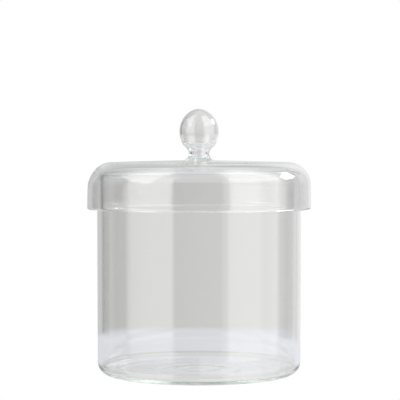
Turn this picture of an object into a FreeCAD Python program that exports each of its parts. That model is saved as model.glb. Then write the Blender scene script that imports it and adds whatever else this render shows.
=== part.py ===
"""Specimen jar: a round clear glass jar with a cap-shaped glass lid that carries a hollow ball knob.

All sizes are in millimetres. The origin is the middle of the face that the jar stands on, and +Z is up
along the axis of the jar.
"""
import FreeCAD, Part
import Sketcher
import math
import os

SHEET_NAME = "Dimensions"
SAME_PLACE = 1e-3
# a fire-polished edge is rounded by this part of the wall on each side
POLISH = 0.46
# the bulb's inside lies in from its outside by this part of the wall, in radius and in height, at the crown
CROWN_INSET = 0.75

# alias, value in mm, meaning
DRIVING_DIMENSIONS = [
    ("jar_height", 108.0, "foot to the top of the rim"),
    ("jar_rim_radius", 54.5, "outside of the wall at the rim"),
    ("jar_foot_radius", 54.3, "outside of the wall at the foot, where it would meet the table"),
    ("jar_wall", 2.8, "thickness of the wall"),
    ("jar_floor", 2.9, "thickness of the floor"),
    ("jar_foot_rounding", 7.0, "outside rounding between floor and wall"),
    ("jar_floor_rounding", 1.6, "inside rounding between floor and wall"),
    ("punt_radius", 37.0, "hollow under the floor"),
    ("punt_rise", 0.9, "height of that hollow in its middle"),
    ("lid_radius", 59.7, "outside of the skirt"),
    ("lid_wall", 2.4, "thickness of the cap and its skirt"),
    ("lid_edge_height", 88.1, "lower edge of the skirt above the foot"),
    ("lid_top_height", 114.3, "flat land under the knob above the foot"),
    ("lid_land_radius", 8.0, "flat land under the knob"),
    ("lid_corner_height", 113.1, "where the sloping top would meet the skirt's outside"),
    ("lid_rounding", 12.5, "outside rounding of the shoulder"),
    ("lid_inner_rounding", 10.1, "inside rounding of the shoulder"),
    ("knob_foot_radius", 7.6, "flare of the stem where it is fused to the cap"),
    ("knob_neck_radius", 5.5, "narrowest part of the stem"),
    ("knob_neck_low", 116.8, "lower end of the straight neck above the foot"),
    ("knob_neck_high", 119.9, "upper end of the straight neck above the foot"),
    ("knob_bulb_start_radius", 8.4, "bulb's lower end"),
    ("knob_bulb_start_height", 122.0, "bulb's lower end above the foot"),
    ("knob_radius", 10.5, "bulb at its widest"),
    ("knob_widest_height", 129.8, "bulb's widest level above the foot"),
    ("knob_crown_radius", 6.7, "bulb where its sides turn into the pointed crown"),
    ("knob_crown_height", 138.6, "level of that turn above the foot"),
    ("knob_top_height", 141.7, "top of the bulb above the foot"),
    ("knob_wall", 1.0, "thickness of the bulb"),
    ("knob_bore_radius", 3.9, "hollow of the neck"),
]


class Size:
    """A length that keeps the spreadsheet expression which drives it."""

    def __init__(self, value, text):
        self.value = value
        self.text = text

    def __add__(self, other):
        return Size(self.value + other.value, f"({self.text} + {other.text})")

    def __sub__(self, other):
        return Size(self.value - other.value, f"({self.text} - {other.text})")

    def __mul__(self, factor):
        return Size(self.value * factor, f"({self.text} * {factor})")


ZERO = Size(0.0, "0")


def make_sheet(doc):
    """The spreadsheet of driving dimensions: name, value, meaning."""
    sheet = doc.addObject("Spreadsheet::Sheet", SHEET_NAME)
    for row, (alias, value, meaning) in enumerate(DRIVING_DIMENSIONS, start=1):
        sheet.set(f"A{row}", alias)
        sheet.set(f"B{row}", str(value))
        sheet.setAlias(f"B{row}", alias)
        sheet.set(f"C{row}", meaning)
    doc.recompute()
    return sheet


def origin_plane(body, role):
    """The body's own origin plane with this role."""
    return next(feature for feature in body.Origin.OriginFeatures if feature.Role == role)


def pin_point(sketch, geometry, end, name, radius, height):
    """Holds one end of a sketch line at a radius and a height, each bound to its expression."""
    if radius is ZERO:
        sketch.addConstraint(Sketcher.Constraint("PointOnObject", geometry, end, -2))
    else:
        index = sketch.addConstraint(Sketcher.Constraint("DistanceX", -1, 1, geometry, end, radius.value))
        sketch.renameConstraint(index, name + "_radius")
        sketch.setExpression("Constraints." + name + "_radius", radius.text)
    if height is ZERO:
        sketch.addConstraint(Sketcher.Constraint("PointOnObject", geometry, end, -1))
    else:
        index = sketch.addConstraint(Sketcher.Constraint("DistanceY", -1, 1, geometry, end, height.value))
        sketch.renameConstraint(index, name + "_height")
        sketch.setExpression("Constraints." + name + "_height", height.text)


def arc_through(start, end, bulge):
    """Centre, radius and angles, counter-clockwise from start to end, of the arc that rises by bulge."""
    half_chord = (end - start).Length / 2
    radius = (half_chord ** 2 + bulge ** 2) / (2 * bulge)
    along = (end - start).normalize()
    outward = FreeCAD.Vector(along.y, -along.x, 0)
    centre = (start + end) * 0.5 - outward * (radius - bulge)
    first = math.atan2(start.y - centre.y, start.x - centre.x)
    last = math.atan2(end.y - centre.y, end.x - centre.x)
    return centre, radius, first, last


def outline_sketch(body, name, corners, arcs=None):
    """A closed half outline in the body's XZ plane, as a list of (radius, height) corners.

    arcs names the sides that are arcs, by the corner that they leave: turn is +1 for an arc that runs
    counter-clockwise and -1 for clockwise, and bulge is a first guess at how far it stands off its chord.
    The centre lies at the height called level, or on the Z axis where there is no level.
    """
    arcs = arcs or {}
    sketch = body.newObject("Sketcher::SketchObject", name)
    sketch.AttachmentSupport = (origin_plane(body, "XZ_Plane"), [""])
    sketch.MapMode = "FlatFace"
    points = [FreeCAD.Vector(radius.value, height.value, 0) for radius, height in corners]
    ends = []
    for number, start in enumerate(points):
        end = points[(number + 1) % len(points)]
        if number not in arcs:
            index = sketch.addGeometry(Part.LineSegment(start, end))
            ends.append((index, 1, 2))
            continue
        turn, bulge = arcs[number]["turn"], arcs[number]["bulge"]
        first_point, last_point = (start, end) if turn > 0 else (end, start)
        centre, radius, first, last = arc_through(first_point, last_point, bulge)
        circle = Part.Circle(centre, FreeCAD.Vector(0, 0, 1), radius)
        index = sketch.addGeometry(Part.ArcOfCircle(circle, first, last))
        ends.append((index, 1, 2) if turn > 0 else (index, 2, 1))
    for number, (index, _, last_end) in enumerate(ends):
        following, first_end, _ = ends[(number + 1) % len(ends)]
        sketch.addConstraint(Sketcher.Constraint("Coincident", index, last_end, following, first_end))
    for number, (radius, height) in enumerate(corners):
        index, first_end, _ = ends[number]
        pin_point(sketch, index, first_end, f"corner{number}", radius, height)
    for number, arc in arcs.items():
        index = ends[number][0]
        if "level" in arc:
            centre_row = sketch.addConstraint(
                Sketcher.Constraint("DistanceY", -1, 1, index, 3, arc["level"].value))
            sketch.renameConstraint(centre_row, f"arc{number}_level")
            sketch.setExpression(f"Constraints.arc{number}_level", arc["level"].text)
        else:
            sketch.addConstraint(Sketcher.Constraint("PointOnObject", index, 3, -2))
    return sketch


def revolve(body, name, sketch, kind):
    """Turns a half outline a full circle about Z: kind is Revolution to add, Groove to cut."""
    feature = body.newObject("PartDesign::" + kind, name)
    feature.Profile = sketch
    feature.ReferenceAxis = (sketch, ["V_Axis"])
    feature.Angle = 360.0
    sketch.Visibility = False
    body.Document.recompute()
    return feature


def ring_edge(shape, radius, height):
    """Name of the circular edge of this radius at this height."""
    for number, edge in enumerate(shape.Edges, start=1):
        curve = edge.Curve
        if not isinstance(curve, Part.Circle):
            continue
        if abs(curve.Radius - radius.value) < SAME_PLACE and abs(curve.Center.z - height.value) < SAME_PLACE:
            return f"Edge{number}"
    raise ValueError(f"no ring of radius {radius.value} at height {height.value}")


def round_rings(body, name, base, rings, rounding):
    """A fillet of one radius on the circular edges at the given (radius, height) places."""
    feature = body.newObject("PartDesign::Fillet", name)
    feature.Base = (base, [ring_edge(base.Shape, radius, height) for radius, height in rings])
    feature.setExpression("Radius", rounding.text)
    body.Document.recompute()
    return feature


def new_body(doc, label):
    """An empty PartDesign body at the origin whose label is the sub-part's name."""
    body = doc.addObject("PartDesign::Body", label)
    body.Label = label
    body.Placement = FreeCAD.Placement()
    return body


def make_jar_body(doc, size):
    """The vessel: a wall with a fire-polished rim, a rounded foot and a floor hollowed a little below."""
    body = new_body(doc, "jar_body")
    height = size["jar_height"]
    rim = size["jar_rim_radius"]
    foot = size["jar_foot_radius"]
    wall = size["jar_wall"]
    floor = size["jar_floor"]
    outside = outline_sketch(body, "jar_outside", [(ZERO, ZERO), (foot, ZERO), (rim, height), (ZERO, height)])
    revolve(body, "jar_solid", outside, "Revolution")
    inside = outline_sketch(
        body, "jar_inside", [(ZERO, floor), (foot - wall, floor), (rim - wall, height), (ZERO, height)])
    vessel = revolve(body, "jar_hollow", inside, "Groove")
    vessel = round_rings(body, "jar_floor_round", vessel, [(foot - wall, floor)], size["jar_floor_rounding"])
    vessel = round_rings(body, "jar_foot_round", vessel, [(foot, ZERO)], size["jar_foot_rounding"])
    rim_rings = [(rim, height), (rim - wall, height)]
    round_rings(body, "jar_rim_polish", vessel, rim_rings, wall * POLISH)
    punt = outline_sketch(
        body, "jar_punt_outline",
        [(ZERO, ZERO), (size["punt_radius"], ZERO), (ZERO, size["punt_rise"])],
        {1: {"turn": 1, "bulge": size["punt_rise"].value / 4}})
    return revolve(body, "jar_punt", punt, "Groove")


def make_lid_cap(doc, size):
    """The cap: a top that falls a little to a round shoulder, and a skirt that hangs over the jar's rim."""
    body = new_body(doc, "lid_cap")
    edge = size["lid_edge_height"]
    top = size["lid_top_height"]
    corner = size["lid_corner_height"]
    radius = size["lid_radius"]
    land = size["lid_land_radius"]
    wall = size["lid_wall"]
    outside = outline_sketch(
        body, "cap_outside", [(ZERO, edge), (radius, edge), (radius, corner), (land, top), (ZERO, top)])
    revolve(body, "cap_solid", outside, "Revolution")
    inner = radius - wall
    inside = outline_sketch(
        body, "cap_inside",
        [(ZERO, edge), (inner, edge), (inner, corner - wall), (land, top - wall), (ZERO, top - wall)])
    cap = revolve(body, "cap_hollow", inside, "Groove")
    cap = round_rings(body, "cap_inner_shoulder", cap, [(inner, corner - wall)], size["lid_inner_rounding"])
    cap = round_rings(body, "cap_shoulder", cap, [(radius, corner)], size["lid_rounding"])
    return round_rings(body, "cap_lip_polish", cap, [(radius, edge), (inner, edge)], wall * POLISH)


def make_lid_knob(doc, size):
    """The knob: a blown bulb on a short hollow stem, fused to the cap by its flared foot."""
    body = new_body(doc, "lid_knob")
    root = size["lid_top_height"]
    neck = size["knob_neck_radius"]
    wall = size["knob_wall"]
    bore = size["knob_bore_radius"]
    widest = size["knob_widest_height"]
    top = size["knob_top_height"]
    bulb = size["knob_radius"]
    start = size["knob_bulb_start_radius"]
    start_height = size["knob_bulb_start_height"]
    crown = size["knob_crown_radius"]
    crown_height = size["knob_crown_height"]
    flare_bulge = (size["knob_foot_radius"] - neck).value / 4
    side_bulge = bulb.value / 16
    crown_bulge = crown.value / 8
    inset = wall * CROWN_INSET
    outside = outline_sketch(
        body, "knob_outside",
        [(ZERO, root), (size["knob_foot_radius"], root), (neck, size["knob_neck_low"]),
         (neck, size["knob_neck_high"]), (start, start_height), (bulb, widest), (crown, crown_height),
         (ZERO, top)],
        {1: {"turn": -1, "bulge": flare_bulge, "level": size["knob_neck_low"]},
         4: {"turn": 1, "bulge": side_bulge, "level": widest},
         5: {"turn": 1, "bulge": side_bulge, "level": widest},
         6: {"turn": 1, "bulge": crown_bulge}})
    revolve(body, "knob_solid", outside, "Revolution")
    inside = outline_sketch(
        body, "knob_inside",
        [(ZERO, root), (bore, root), (bore, size["knob_neck_high"]), (start - wall, start_height + wall),
         (bulb - wall, widest), (crown - inset, crown_height - inset), (ZERO, top - wall)],
        {3: {"turn": 1, "bulge": side_bulge, "level": widest},
         4: {"turn": 1, "bulge": side_bulge, "level": widest},
         5: {"turn": 1, "bulge": crown_bulge}})
    return revolve(body, "knob_hollow", inside, "Groove")


def check_document(doc):
    """Stops unless every object was computed and every sub-part is one sound solid."""
    for feature in doc.Objects:
        if "Invalid" in feature.State or "Error" in feature.State:
            raise RuntimeError(f"{feature.Name} is {feature.State}")
    for body in doc.findObjects("PartDesign::Body"):
        shape = body.Shape
        if shape.isNull() or not shape.isValid() or len(shape.Solids) != 1:
            raise RuntimeError(f"{body.Label} isn't one sound solid")
        print(body.Label, "volume", round(shape.Volume), "mm3, box", shape.BoundBox)


def main():
    doc = FreeCAD.newDocument("specimen_jar")
    sheet = make_sheet(doc)
    size = {alias: Size(float(sheet.get(alias)), f"{SHEET_NAME}.{alias}")
            for alias, _, _ in DRIVING_DIMENSIONS}
    make_jar_body(doc, size)
    make_lid_cap(doc, size)
    make_lid_knob(doc, size)
    doc.recompute()
    check_document(doc)
    os.makedirs("parts", exist_ok=True)
    for body in doc.findObjects("PartDesign::Body"):
        body.Shape.exportStep(os.path.join("parts", body.Label + ".step"))


main()
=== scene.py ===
"""Specimen jar: the looks of a clear glass jar with a cap-shaped glass lid and a hollow ball knob."""
import math

import bpy
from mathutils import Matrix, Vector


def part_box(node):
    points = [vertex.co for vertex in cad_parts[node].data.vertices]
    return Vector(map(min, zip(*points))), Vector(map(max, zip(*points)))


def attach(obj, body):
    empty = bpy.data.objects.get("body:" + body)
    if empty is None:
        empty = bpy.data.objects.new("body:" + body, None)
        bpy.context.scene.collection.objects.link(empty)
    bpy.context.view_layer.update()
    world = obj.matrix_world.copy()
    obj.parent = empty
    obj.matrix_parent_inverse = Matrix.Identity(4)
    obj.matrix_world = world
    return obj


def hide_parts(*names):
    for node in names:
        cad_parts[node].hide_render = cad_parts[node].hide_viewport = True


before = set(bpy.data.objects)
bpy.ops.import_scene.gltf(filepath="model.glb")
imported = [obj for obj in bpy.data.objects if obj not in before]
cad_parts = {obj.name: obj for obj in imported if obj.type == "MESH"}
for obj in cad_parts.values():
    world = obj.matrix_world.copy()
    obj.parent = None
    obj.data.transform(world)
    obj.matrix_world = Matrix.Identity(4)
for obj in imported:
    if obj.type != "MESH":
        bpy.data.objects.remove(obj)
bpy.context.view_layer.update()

MM = 0.001

# ---------------------------------------------------------------- sizes, in metres
JAR_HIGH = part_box("jar_body")[1]
CAP_LOW, CAP_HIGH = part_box("lid_cap")
KNOB_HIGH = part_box("lid_knob")[1]

RIM_RADIUS = JAR_HIGH[1]
JAR_HEIGHT = JAR_HIGH[2]
FOOT_RADIUS = RIM_RADIUS - 0.2 * MM
JAR_WALL = 2.8 * MM
RIM_POLISH = 0.46 * JAR_WALL
FLOOR_THICKNESS = 2.9 * MM
FOOT_ROUNDING = 7.0 * MM
FLOOR_ROUNDING = 1.6 * MM

# the hollow under the floor, with the corners of its outline as radius, height and rounding
PUNT_RADIUS = 37.0 * MM
PUNT_RISE = 0.9 * MM
PUNT_SLOPE = (0.35 * PUNT_RADIUS, PUNT_RISE * 0.9, 60 * MM)
PUNT_EDGE = (PUNT_RADIUS, 0.0, 12 * MM)

CAP_RADIUS = CAP_HIGH[1]
CAP_EDGE = CAP_LOW[2]
CAP_TOP = CAP_HIGH[2]
CAP_WALL = 2.4 * MM
CAP_FALL = 1.2 * MM
CAP_ROUNDING = 12.5 * MM
CAP_INNER_ROUNDING = 10.1 * MM
CAP_LIP = 0.49 * CAP_WALL

KNOB_RADIUS = KNOB_HIGH[1]
KNOB_TOP = KNOB_HIGH[2]
KNOB_WALL = 1.0 * MM
HOLLOW_RADIUS = KNOB_RADIUS - KNOB_WALL
HOLLOW_ROOT = CAP_TOP + 0.5 * MM
NECK_RADIUS = 5.5 * MM
NECK_BORE = 3.9 * MM
BULB_MIDDLE = KNOB_TOP - 11.9 * MM
CROWN_POWER = 1.04

# corners of the knob's foot and bulb, and of its hollow, each as radius, height and rounding
FLARE_EDGE = (7.6 * MM, CAP_TOP, 0.8 * MM)
FLARE_MIDDLE = (NECK_RADIUS + 0.6 * MM, CAP_TOP + 1.2 * MM, 1.2 * MM)
FLARE_TOP = (NECK_RADIUS, CAP_TOP + 3.0 * MM, 2.5 * MM)
NECK_TOP = (NECK_RADIUS, BULB_MIDDLE - 10.4 * MM, 3.0 * MM)
BULB_UNDERSIDE = (KNOB_RADIUS - 1.6 * MM, BULB_MIDDLE - 7.2 * MM, 3.0 * MM)
BULB_SIDE = (KNOB_RADIUS, BULB_MIDDLE - 1.8 * MM, 9.5 * MM)
BORE_FOOT = (NECK_BORE, HOLLOW_ROOT, 1.6 * MM)
BORE_TOP = (NECK_BORE, BULB_MIDDLE - 10.2 * MM, 3.0 * MM)
HOLLOW_UNDERSIDE = (HOLLOW_RADIUS - 1.44 * MM, BULB_MIDDLE - 6.7 * MM, 2.5 * MM)
HOLLOW_SIDE = (HOLLOW_RADIUS, BULB_MIDDLE - 1.63 * MM, 8.5 * MM)

# an air seed in the cap under the knob's foot, towards the camera and a little to the left
SEED_RADIUS = 1.0 * MM
SEED_PLACE = (-2.2 * MM, -3.0 * MM)
SEED_HEIGHT = CAP_TOP - 1.2 * MM

# unevenness of hand-made glass; each oval is widest at an angle of its own
JAR_OVAL = 0.0012
JAR_OVAL_TURN = 0.6
LID_OVAL = 0.0010
LID_OVAL_TURN = 2.0
RIM_DIP = 0.7 * MM
RIM_DIP_POWER = 8
SLUMP = 1.0 * MM
SLUMP_POWER = 4
SLUMP_IN = 0.8
SLUMP_DOWN = 0.5
SLUMP_MIDDLE = CAP_TOP - 5 * MM
SLUMP_REACH = 9 * MM
RING_DEPTH = 0.14 * MM
RING_SPACING = 12.5 * MM

# fineness of the meshes
SEGMENTS = 256
STEP = 1.2 * MM
ARC_STEP = math.radians(5)
CROWN_STEPS = 40
SEED_STEPS = 12


# ---------------------------------------------------------------- outlines
def rounded(corners):
    """Points along a line through (radius, height, rounding) corners, each rounded by a tangent arc."""
    points = [corners[0][:2]]
    for before, corner, after in zip(corners, corners[1:], corners[2:]):
        points += corner_arc(before, corner, after)
    points.append(corners[-1][:2])
    return subdivided(points)


def corner_arc(before, corner, after):
    """The arc that rounds one corner."""
    radius = corner[2]
    inward = unit(before[0] - corner[0], before[1] - corner[1])
    outward = unit(after[0] - corner[0], after[1] - corner[1])
    half = math.acos(max(-1.0, min(1.0, inward[0] * outward[0] + inward[1] * outward[1]))) / 2
    reach = radius / math.tan(half)
    middle = unit(inward[0] + outward[0], inward[1] + outward[1])
    away = radius / math.sin(half)
    centre = (corner[0] + middle[0] * away, corner[1] + middle[1] * away)
    start = (corner[0] + inward[0] * reach, corner[1] + inward[1] * reach)
    first = math.atan2(start[1] - centre[1], start[0] - centre[0])
    cross = inward[0] * outward[1] - inward[1] * outward[0]
    sweep = (math.pi - 2 * half) * (-1 if cross > 0 else 1)
    count = max(3, math.ceil(abs(sweep) / ARC_STEP))
    angles = [first + sweep * index / count for index in range(count + 1)]
    return [(centre[0] + radius * math.cos(angle), centre[1] + radius * math.sin(angle)) for angle in angles]


def unit(across, up):
    """A direction of length one."""
    length = math.hypot(across, up)
    return across / length, up / length


def subdivided(points):
    """The same outline with no stretch longer than STEP."""
    result = [points[0]]
    for start, end in zip(points, points[1:]):
        count = max(1, math.ceil(math.dist(start, end) / STEP))
        for index in range(1, count + 1):
            part = index / count
            result.append((start[0] + (end[0] - start[0]) * part, start[1] + (end[1] - start[1]) * part))
    return result


def jar_outline():
    """Half outline of the jar, from the middle of its foot, out, up, over the rim and down inside."""
    return rounded([
        (0.0, PUNT_RISE, 0),
        PUNT_SLOPE,
        PUNT_EDGE,
        (FOOT_RADIUS, 0.0, FOOT_ROUNDING),
        (RIM_RADIUS, JAR_HEIGHT, RIM_POLISH),
        (RIM_RADIUS - JAR_WALL, JAR_HEIGHT, RIM_POLISH),
        (FOOT_RADIUS - JAR_WALL, FLOOR_THICKNESS, FLOOR_ROUNDING),
        (0.0, FLOOR_THICKNESS, 0)])


def lid_inside():
    """Half outline of the cap's inside, from the axis out under the top, down the skirt and round its lip."""
    inner = CAP_RADIUS - CAP_WALL
    return rounded([
        (0.0, CAP_TOP - CAP_WALL, 0),
        (inner, CAP_TOP - CAP_FALL - CAP_WALL, CAP_INNER_ROUNDING),
        (inner, CAP_EDGE, CAP_LIP),
        (CAP_RADIUS - CAP_WALL / 2, CAP_EDGE, 0)])


def lid_outside():
    """Half outline of the outside of cap and knob, from the lip up over the shoulder to the knob's top."""
    return rounded([
        (CAP_RADIUS - CAP_WALL / 2, CAP_EDGE, 0),
        (CAP_RADIUS, CAP_EDGE, CAP_LIP),
        (CAP_RADIUS, CAP_TOP - CAP_FALL, CAP_ROUNDING),
        FLARE_EDGE,
        FLARE_MIDDLE,
        FLARE_TOP,
        NECK_TOP,
        BULB_UNDERSIDE,
        BULB_SIDE,
        (KNOB_RADIUS, BULB_MIDDLE, 0)]) + crown(KNOB_RADIUS, KNOB_TOP - BULB_MIDDLE)


def hollow_outline():
    """The sealed hollow of the knob, from the axis at its root up the neck and round the bulb."""
    return rounded([
        (0.0, HOLLOW_ROOT, 0),
        BORE_FOOT,
        BORE_TOP,
        HOLLOW_UNDERSIDE,
        HOLLOW_SIDE,
        (HOLLOW_RADIUS, BULB_MIDDLE, 0)]) + crown(HOLLOW_RADIUS, KNOB_TOP - BULB_MIDDLE - KNOB_WALL)


def crown(radius, rise):
    """Upper half of the bulb, a little more pointed than round, from its widest level to the axis."""
    points = []
    for index in range(1, CROWN_STEPS):
        angle = math.pi / 2 * index / CROWN_STEPS
        across = radius * math.cos(angle) ** CROWN_POWER
        up = rise * math.sin(angle) ** CROWN_POWER
        points.append((across, BULB_MIDDLE + up))
    return points + [(0.0, BULB_MIDDLE + rise)]


def seed_outline():
    """The round air seed, as a half outline about its own upright axis."""
    angles = [-math.pi / 2 + math.pi * index / SEED_STEPS for index in range(1, SEED_STEPS)]
    side = [(SEED_RADIUS * math.cos(angle), SEED_HEIGHT + SEED_RADIUS * math.sin(angle)) for angle in angles]
    return [(0.0, SEED_HEIGHT - SEED_RADIUS)] + side + [(0.0, SEED_HEIGHT + SEED_RADIUS)]


# ---------------------------------------------------------------- unevenness
def leftness(angle):
    """One on the left side of the glass, nothing on the right, and smooth between."""
    return (0.5 - 0.5 * math.cos(angle)) ** 2


def blown_jar(radius, height, angle):
    """The jar as made by hand: a little out of round, its rim dipping on one side, its floor ringed below."""
    across = radius * (1 - JAR_OVAL * (1 + math.cos(2 * angle + JAR_OVAL_TURN)))
    if height > FLOOR_THICKNESS / 2 or radius > PUNT_RADIUS:
        return across, height - RIM_DIP * (height / JAR_HEIGHT) ** RIM_DIP_POWER * leftness(angle)
    ring = math.sin(math.pi * radius / PUNT_RADIUS) ** 2 * math.cos(2 * math.pi * radius / RING_SPACING)
    return across, height + RING_DEPTH * ring


def blown_lid(radius, height, angle):
    """The lid as made by hand: a little out of round, and lower over one shoulder."""
    across = radius * (1 - LID_OVAL * (1 + math.cos(2 * angle + LID_OVAL_TURN)))
    if height > CAP_TOP:
        return across, height
    near_shoulder = math.exp(-((height - SLUMP_MIDDLE) / SLUMP_REACH) ** 2)
    shoulder = near_shoulder * (radius / CAP_RADIUS) ** SLUMP_POWER
    slump = SLUMP * shoulder * leftness(angle)
    return across - slump * SLUMP_IN, height - slump * SLUMP_DOWN


# ---------------------------------------------------------------- meshes
def lathe(vertices, faces, outline, shape=None):
    """Turns an outline that starts and ends on the axis into a closed surface, added to the lists."""
    first = len(vertices)
    rings = outline[1:-1]
    vertices.append((0.0, 0.0, outline[0][1]))
    for radius, height in rings:
        for index in range(SEGMENTS):
            angle = 2 * math.pi * index / SEGMENTS
            across, up = shape(radius, height, angle) if shape else (radius, height)
            vertices.append((across * math.cos(angle), across * math.sin(angle), up))
    vertices.append((0.0, 0.0, outline[-1][1]))
    last = len(vertices) - 1
    top_ring = first + 1 + (len(rings) - 1) * SEGMENTS
    for index in range(SEGMENTS):
        beside = (index + 1) % SEGMENTS
        faces.append((first, first + 1 + beside, first + 1 + index))
        faces.append((last, top_ring + index, top_ring + beside))
    for ring in range(len(rings) - 1):
        lower = first + 1 + ring * SEGMENTS
        upper = lower + SEGMENTS
        for index in range(SEGMENTS):
            beside = (index + 1) % SEGMENTS
            faces.append((lower + index, lower + beside, upper + beside, upper + index))


def make_piece(name, vertices, faces):
    """A smooth-shaded mesh object."""
    mesh = bpy.data.meshes.new(name)
    mesh.from_pydata(vertices, [], faces)
    mesh.validate()
    mesh.shade_smooth()
    piece = bpy.data.objects.new(name, mesh)
    bpy.context.scene.collection.objects.link(piece)
    return piece


# ---------------------------------------------------------------- materials
GLASS_INDEX = 1.47
GLASS_TINT = (0.74, 0.86, 0.74, 1.0)
TINT_DENSITY = 4.0
RIPPLE_SCALE = 28.0
RIPPLE_DETAIL = 2.0
RIPPLE_STRENGTH = 0.03
RIPPLE_HEIGHT = 0.001
HAZE_SCALE = 55.0
# the noise goes from its first to its second number, and the roughness from the third to the fourth
HAZE = (0.35, 0.8, 0.0, 0.025)
# each piece takes its ripples and haze from a place of its own in the noise
JAR_NOISE_SHIFT = 1.0
LID_NOISE_SHIFT = 5.0


class Nodes:
    """Short calls that add nodes to one tree."""

    def __init__(self, tree):
        self.tree = tree
        tree.nodes.clear()

    def add(self, kind, **settings):
        node = self.tree.nodes.new(kind)
        for name, value in settings.items():
            setattr(node, name, value)
        return node

    def link(self, source, target):
        self.tree.links.new(source, target)

    def put(self, socket, value):
        if isinstance(value, bpy.types.NodeSocket):
            self.link(value, socket)
        else:
            socket.default_value = value

    def math(self, operation, *values):
        node = self.add("ShaderNodeMath", operation=operation)
        for socket, value in zip(node.inputs, values):
            self.put(socket, value)
        return node.outputs[0]

    def ramp(self, value, start, end, low=0.0, high=1.0):
        """Goes smoothly from low to high while value goes from start to end."""
        node = self.add("ShaderNodeMapRange", interpolation_type="SMOOTHSTEP")
        for name, number in (("Value", value), ("From Min", start), ("From Max", end),
                             ("To Min", low), ("To Max", high)):
            self.put(node.inputs[name], number)
        return node.outputs["Result"]

    def window(self, value, start, end, soft):
        """One between start and end and nothing outside them, with soft edges."""
        rise = self.ramp(value, start - soft, start + soft)
        fall = self.ramp(value, end + soft, end - soft)
        return self.math("MULTIPLY", rise, fall)

    def mix(self, factor, first, second):
        node = self.add("ShaderNodeMix", data_type="RGBA")
        for socket, value in ((node.inputs[0], factor), (node.inputs[6], first), (node.inputs[7], second)):
            self.put(socket, value)
        return node.outputs[2]

    def noise(self, place, scale, detail=2.0):
        node = self.add("ShaderNodeTexNoise")
        node.inputs["Scale"].default_value = scale
        node.inputs["Detail"].default_value = detail
        self.link(place, node.inputs["Vector"])
        return node.outputs["Fac"]


def make_glass(name, shift):
    """Clear blown glass: faint ripples from the making, a little haze in places, and a weak tint inside."""
    material = bpy.data.materials.new(name)
    material.use_nodes = True
    nodes = Nodes(material.node_tree)
    shifted = nodes.add("ShaderNodeMapping")
    shifted.inputs["Location"].default_value = (shift, shift, shift)
    nodes.link(nodes.add("ShaderNodeTexCoord").outputs["Object"], shifted.inputs["Vector"])
    place = shifted.outputs[0]
    bump = nodes.add("ShaderNodeBump")
    bump.inputs["Strength"].default_value = RIPPLE_STRENGTH
    bump.inputs["Distance"].default_value = RIPPLE_HEIGHT
    nodes.link(nodes.noise(place, RIPPLE_SCALE, RIPPLE_DETAIL), bump.inputs["Height"])
    haze = nodes.ramp(nodes.noise(place, HAZE_SCALE), *HAZE)
    shader = nodes.add("ShaderNodeBsdfPrincipled")
    shader.inputs["Base Color"].default_value = (1.0, 1.0, 1.0, 1.0)
    shader.inputs["Transmission Weight"].default_value = 1.0
    shader.inputs["IOR"].default_value = GLASS_INDEX
    nodes.link(haze, shader.inputs["Roughness"])
    nodes.link(bump.outputs[0], shader.inputs["Normal"])
    absorb = nodes.add("ShaderNodeVolumeAbsorption")
    absorb.inputs["Color"].default_value = GLASS_TINT
    absorb.inputs["Density"].default_value = TINT_DENSITY
    output = nodes.add("ShaderNodeOutputMaterial")
    nodes.link(shader.outputs[0], output.inputs["Surface"])
    nodes.link(absorb.outputs[0], output.inputs["Volume"])
    return material


# ---------------------------------------------------------------- pieces
def make_jar():
    vertices, faces = [], []
    lathe(vertices, faces, jar_outline(), blown_jar)
    piece = make_piece("jar_glass", vertices, faces)
    piece.data.materials.append(make_glass("jar_glass", JAR_NOISE_SHIFT))
    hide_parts("jar_body")
    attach(piece, "jar")


def make_lid():
    """Cap and knob as one lump of glass, with two sealed hollows in it: the knob's own and the air seed."""
    vertices, faces = [], []
    lathe(vertices, faces, lid_inside() + lid_outside()[1:], blown_lid)
    hollow_start = len(faces)
    lathe(vertices, faces, hollow_outline())
    seed_start = len(vertices)
    lathe(vertices, faces, seed_outline())
    vertices[seed_start:] = [(x + SEED_PLACE[0], y + SEED_PLACE[1], z) for x, y, z in vertices[seed_start:]]
    faces[hollow_start:] = [tuple(reversed(face)) for face in faces[hollow_start:]]
    piece = make_piece("lid_glass", vertices, faces)
    piece.data.materials.append(make_glass("lid_glass", LID_NOISE_SHIFT))
    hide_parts("lid_cap", "lid_knob")
    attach(piece, "lid")


# ---------------------------------------------------------------- stage
CAMERA_DISTANCE = 0.900
CAMERA_HEIGHT = 0.1153
CAMERA_SIDE = 0.0005
CAMERA_TILT = math.radians(1.42)
CAMERA_LENS = 151.6
SENSOR_WIDTH = 36.0
MOST_BOUNCES = 96
GLASS_BOUNCES = 64

TABLE_REACH = 0.15
TABLE_DROP = 0.2 * MM
TABLE_SEGMENTS = 64
TABLE_BLEND = 0.06

PAPER_WHITE = (1.0, 1.0, 1.0, 1.0)
PAPER_GREY = (0.60, 0.62, 0.64, 1.0)
# the table glows with painted light: painted shade makes its left darker than its right
TABLE_SHADED_LEFT = (0.700, 0.712, 0.742, 1.0)
TABLE_LIT_RIGHT = (0.800, 0.815, 0.850, 1.0)
# painted shade on the backdrop: darker on the left, more light on the right
BACKDROP_SHADED_LEFT = (0.553, 0.554, 0.540, 1.0)
BACKDROP_LIT_RIGHT = (0.745, 0.746, 0.738, 1.0)

# Directions in the studio are in degrees. Azimuth is counted from the camera's side of the jar and right
# from the far side, both positive to the camera's right, and height is above the horizon.
FAR_EDGE_OF_TABLE = -5.83
EDGE_SOFTNESS = 0.12

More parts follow.
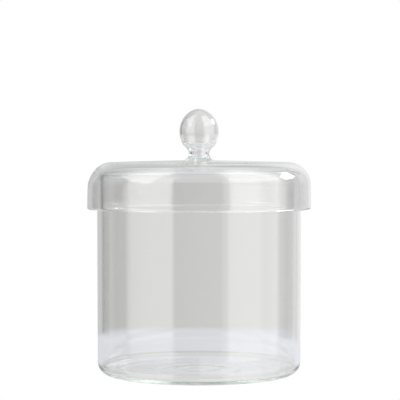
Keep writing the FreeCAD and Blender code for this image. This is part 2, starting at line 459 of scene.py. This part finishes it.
# Changes over a direction, as (from, to) and then the values at both ends where they aren't 0 and 1.
TONE_ACROSS = (-11.0, 11.0)
BACKDROP_LIFT = (0.5, 1.3, 0.0, 0.2)
BACKDROP_ASIDE = (60.0, 110.0)
PAPER_ASIDE = (20.0, 50.0)
ROOM_LEFT = (-129.0, -124.0, 0.12, 0.22)
ROOM_RIGHT = (31.0, 60.0, 0.12, 0.16)
ROOM_ABOVE = (50.0, 60.0, 0.0, 0.15)
REAR_LEVEL = (-10.0, 10.0, 0.45, 0.66)
REAR_DROP = (16.0, 28.0, 0.0, 0.19)
REAR_LEFT_END = (-140.0, -147.0)
REAR_RIGHT_END = (126.0, 137.0)
REAR_SHADE_UP = (20.0, 45.0)
REAR_SHADE_ACROSS = (-8.0, 10.0, 0.05, 0.58)
LEFT_LEVEL = (-84.0, -58.0, 0.66, 0.85)
RIGHT_LEVEL_BELOW = (2.0, 8.0, 1.35, 0.95)
RIGHT_LEVEL_ABOVE = (17.0, 27.0, 0.0, 1.20)
SLANT = (-109.0, -50.0, 34.0, 16.0)
NEAR_EDGE_RIGHT = (92.0, 100.0, -90.0, -6.3)
NEAR_EDGE_LEFT = (-82.0, -92.0, 0.0, 84.0)

# Panels, each as (start, end, softness) in azimuth and in height. The slanted one's height is counted from
# a lower edge that falls towards the camera.
LEFT_PANEL = ((-84.0, -28.5, 3.0), (-90.0, 58.0, 2.0))
RIGHT_PANEL = ((33.0, 101.5, 3.0), (-90.0, 72.0, 3.0))
SLANTED_PANEL = ((-109.0, -52.0, 2.5), (0.0, 52.0, 3.0))
SLANTED_LEVEL = 1.6
LAMP = ((107.0, 126.0, 1.5), (20.0, 34.0, 1.5))
LAMP_LEVEL = 8.0


def make_camera():
    data = bpy.data.cameras.new("camera")
    data.lens = CAMERA_LENS
    data.sensor_width = SENSOR_WIDTH
    camera = bpy.data.objects.new("camera", data)
    camera.location = (CAMERA_SIDE, -CAMERA_DISTANCE, CAMERA_HEIGHT)
    camera.rotation_euler = (math.pi / 2 - CAMERA_TILT, 0.0, 0.0)
    bpy.context.scene.collection.objects.link(camera)
    bpy.context.scene.camera = camera


def make_table():
    """A pale round table top under the jar, glowing with painted light. It shows in and through the glass,
    and not beside it.
    """
    angles = [2 * math.pi * index / TABLE_SEGMENTS for index in range(TABLE_SEGMENTS)]
    rim = [(TABLE_REACH * math.cos(angle), TABLE_REACH * math.sin(angle), -TABLE_DROP) for angle in angles]
    mesh = bpy.data.meshes.new("table")
    mesh.from_pydata(rim, [], [tuple(range(TABLE_SEGMENTS))])
    table = bpy.data.objects.new("table", mesh)
    bpy.context.scene.collection.objects.link(table)
    material = bpy.data.materials.new("table")
    material.use_nodes = True
    nodes = Nodes(material.node_tree)
    place = nodes.add("ShaderNodeSeparateXYZ")
    nodes.link(nodes.add("ShaderNodeTexCoord").outputs["Object"], place.inputs[0])
    # painted light instead of lighting: the table glows, with painted shade on its left and more light on its
    # right
    glow = nodes.add("ShaderNodeEmission")
    across = nodes.ramp(place.outputs[0], -TABLE_BLEND, TABLE_BLEND)
    nodes.link(nodes.mix(across, TABLE_SHADED_LEFT, TABLE_LIT_RIGHT), glow.inputs["Color"])
    output = nodes.add("ShaderNodeOutputMaterial")
    nodes.link(glow.outputs[0], output.inputs["Surface"])
    mesh.materials.append(material)
    table.visible_camera = False


def look_direction(nodes):
    """Azimuth, right and height, in degrees, of the direction that a ray leaves in."""
    split = nodes.add("ShaderNodeSeparateXYZ")
    nodes.link(nodes.add("ShaderNodeTexCoord").outputs["Generated"], split.inputs[0])
    side, depth, rise = split.outputs
    toward = nodes.math("MULTIPLY", depth, -1.0)
    azimuth = nodes.math("DEGREES", nodes.math("ARCTAN2", side, toward))
    right = nodes.math("DEGREES", nodes.math("ARCTAN2", side, depth))
    height = nodes.math("DEGREES", nodes.math("ARCSINE", rise))
    return azimuth, right, height


def below(nodes, height, edge):
    """One where height is under an edge."""
    return nodes.ramp(nodes.math("SUBTRACT", height, edge), EDGE_SOFTNESS, -EDGE_SOFTNESS)


def backdrop_colour(nodes, right, height, table_colour):
    """The backdrop as it shows straight through the glass, darker on the left as painted shade."""
    colour = nodes.mix(nodes.ramp(right, *TONE_ACROSS), BACKDROP_SHADED_LEFT, BACKDROP_LIT_RIGHT)
    colour = nodes.mix(nodes.ramp(height, *BACKDROP_LIFT), colour, PAPER_WHITE)
    aside = nodes.math("ABSOLUTE", right)
    colour = nodes.mix(nodes.ramp(aside, *BACKDROP_ASIDE), colour, PAPER_GREY)
    return nodes.mix(below(nodes, height, FAR_EDGE_OF_TABLE), colour, table_colour)


def panel_light(nodes, azimuth, height, level, panel):
    """The light of one soft-edged panel."""
    across, up = panel
    shape = nodes.math("MULTIPLY", nodes.window(azimuth, *across), nodes.window(height, *up))
    return nodes.math("MULTIPLY", shape, level)


def rear_light(nodes, azimuth, right, height):
    """The lit wall on the far side, brightest a little right of its middle, and shaded higher up there."""
    level = nodes.math("SUBTRACT", nodes.ramp(right, *REAR_LEVEL), nodes.ramp(right, *REAR_DROP))
    shape = nodes.math("ADD", nodes.ramp(azimuth, *REAR_LEFT_END), nodes.ramp(azimuth, *REAR_RIGHT_END))
    shade = nodes.math("MULTIPLY", nodes.ramp(height, *REAR_SHADE_UP), nodes.ramp(right, *REAR_SHADE_ACROSS))
    return nodes.math("MULTIPLY", nodes.math("MULTIPLY", level, shape), nodes.math("SUBTRACT", 1.0, shade))


def mirrored_colour(nodes, azimuth, right, height, table_colour):
    """What the glass mirrors: a dim room with its panels, its lit rear wall and the table."""
    room = nodes.math("MAXIMUM", nodes.ramp(azimuth, *ROOM_LEFT), nodes.ramp(azimuth, *ROOM_RIGHT))
    left_level = nodes.ramp(azimuth, *LEFT_LEVEL)
    right_level = nodes.math("ADD", nodes.ramp(height, *RIGHT_LEVEL_BELOW),
                             nodes.ramp(height, *RIGHT_LEVEL_ABOVE))
    above_slant = nodes.math("SUBTRACT", height, nodes.ramp(azimuth, *SLANT))
    lights = [
        rear_light(nodes, azimuth, right, height),
        nodes.ramp(height, *ROOM_ABOVE),
        panel_light(nodes, azimuth, height, left_level, LEFT_PANEL),
        panel_light(nodes, azimuth, above_slant, SLANTED_LEVEL, SLANTED_PANEL),
        panel_light(nodes, azimuth, height, right_level, RIGHT_PANEL),
        panel_light(nodes, azimuth, height, LAMP_LEVEL, LAMP),
    ]
    for light in lights:
        room = nodes.math("ADD", room, light)
    grey = nodes.add("ShaderNodeCombineColor")
    for socket in grey.inputs:
        nodes.link(room, socket)
    # the mirrored table reaches from the far side round to both sides, and not on towards the camera
    near_edge = nodes.math("ADD", nodes.ramp(azimuth, *NEAR_EDGE_RIGHT), nodes.ramp(azimuth, *NEAR_EDGE_LEFT))
    return nodes.mix(below(nodes, height, near_edge), grey.outputs[0], table_colour)


def make_studio():
    """Soft light from tall panels on both sides of the camera, in a studio with a grey backdrop.

    Bare paper shows beside the glass: white on the far side of the jar, and grey all round the rest.
    """
    world = bpy.data.worlds.new("studio")
    bpy.context.scene.world = world
    world.use_nodes = True
    nodes = Nodes(world.node_tree)
    azimuth, right, height = look_direction(nodes)
    # the table's painted light, with painted shade on its left, as it shows through and in the glass
    table_colour = nodes.mix(nodes.ramp(right, *TONE_ACROSS), TABLE_SHADED_LEFT, TABLE_LIT_RIGHT)
    through = backdrop_colour(nodes, right, height, table_colour)
    in_mirrors = mirrored_colour(nodes, azimuth, right, height, table_colour)
    aside = nodes.math("ABSOLUTE", right)
    paper = nodes.mix(nodes.ramp(aside, *PAPER_ASIDE), PAPER_WHITE, PAPER_GREY)
    path = nodes.add("ShaderNodeLightPath")
    is_mirrored = nodes.math("GREATER_THAN", path.outputs["Glossy Depth"], 0.5)
    colour = nodes.mix(is_mirrored, through, in_mirrors)
    colour = nodes.mix(path.outputs["Is Camera Ray"], colour, paper)
    glow = nodes.add("ShaderNodeBackground")
    nodes.link(colour, glow.inputs["Color"])
    output = nodes.add("ShaderNodeOutputWorld")
    nodes.link(glow.outputs[0], output.inputs["Surface"])


def set_render():
    """Enough bounces for light to cross every wall of nested glass, and plain colour."""
    scene = bpy.context.scene
    scene.cycles.max_bounces = MOST_BOUNCES
    scene.cycles.transmission_bounces = GLASS_BOUNCES
    scene.cycles.glossy_bounces = GLASS_BOUNCES
    scene.view_settings.view_transform = "Standard"


make_jar()
make_lid()
make_camera()
make_table()
make_studio()
set_render()
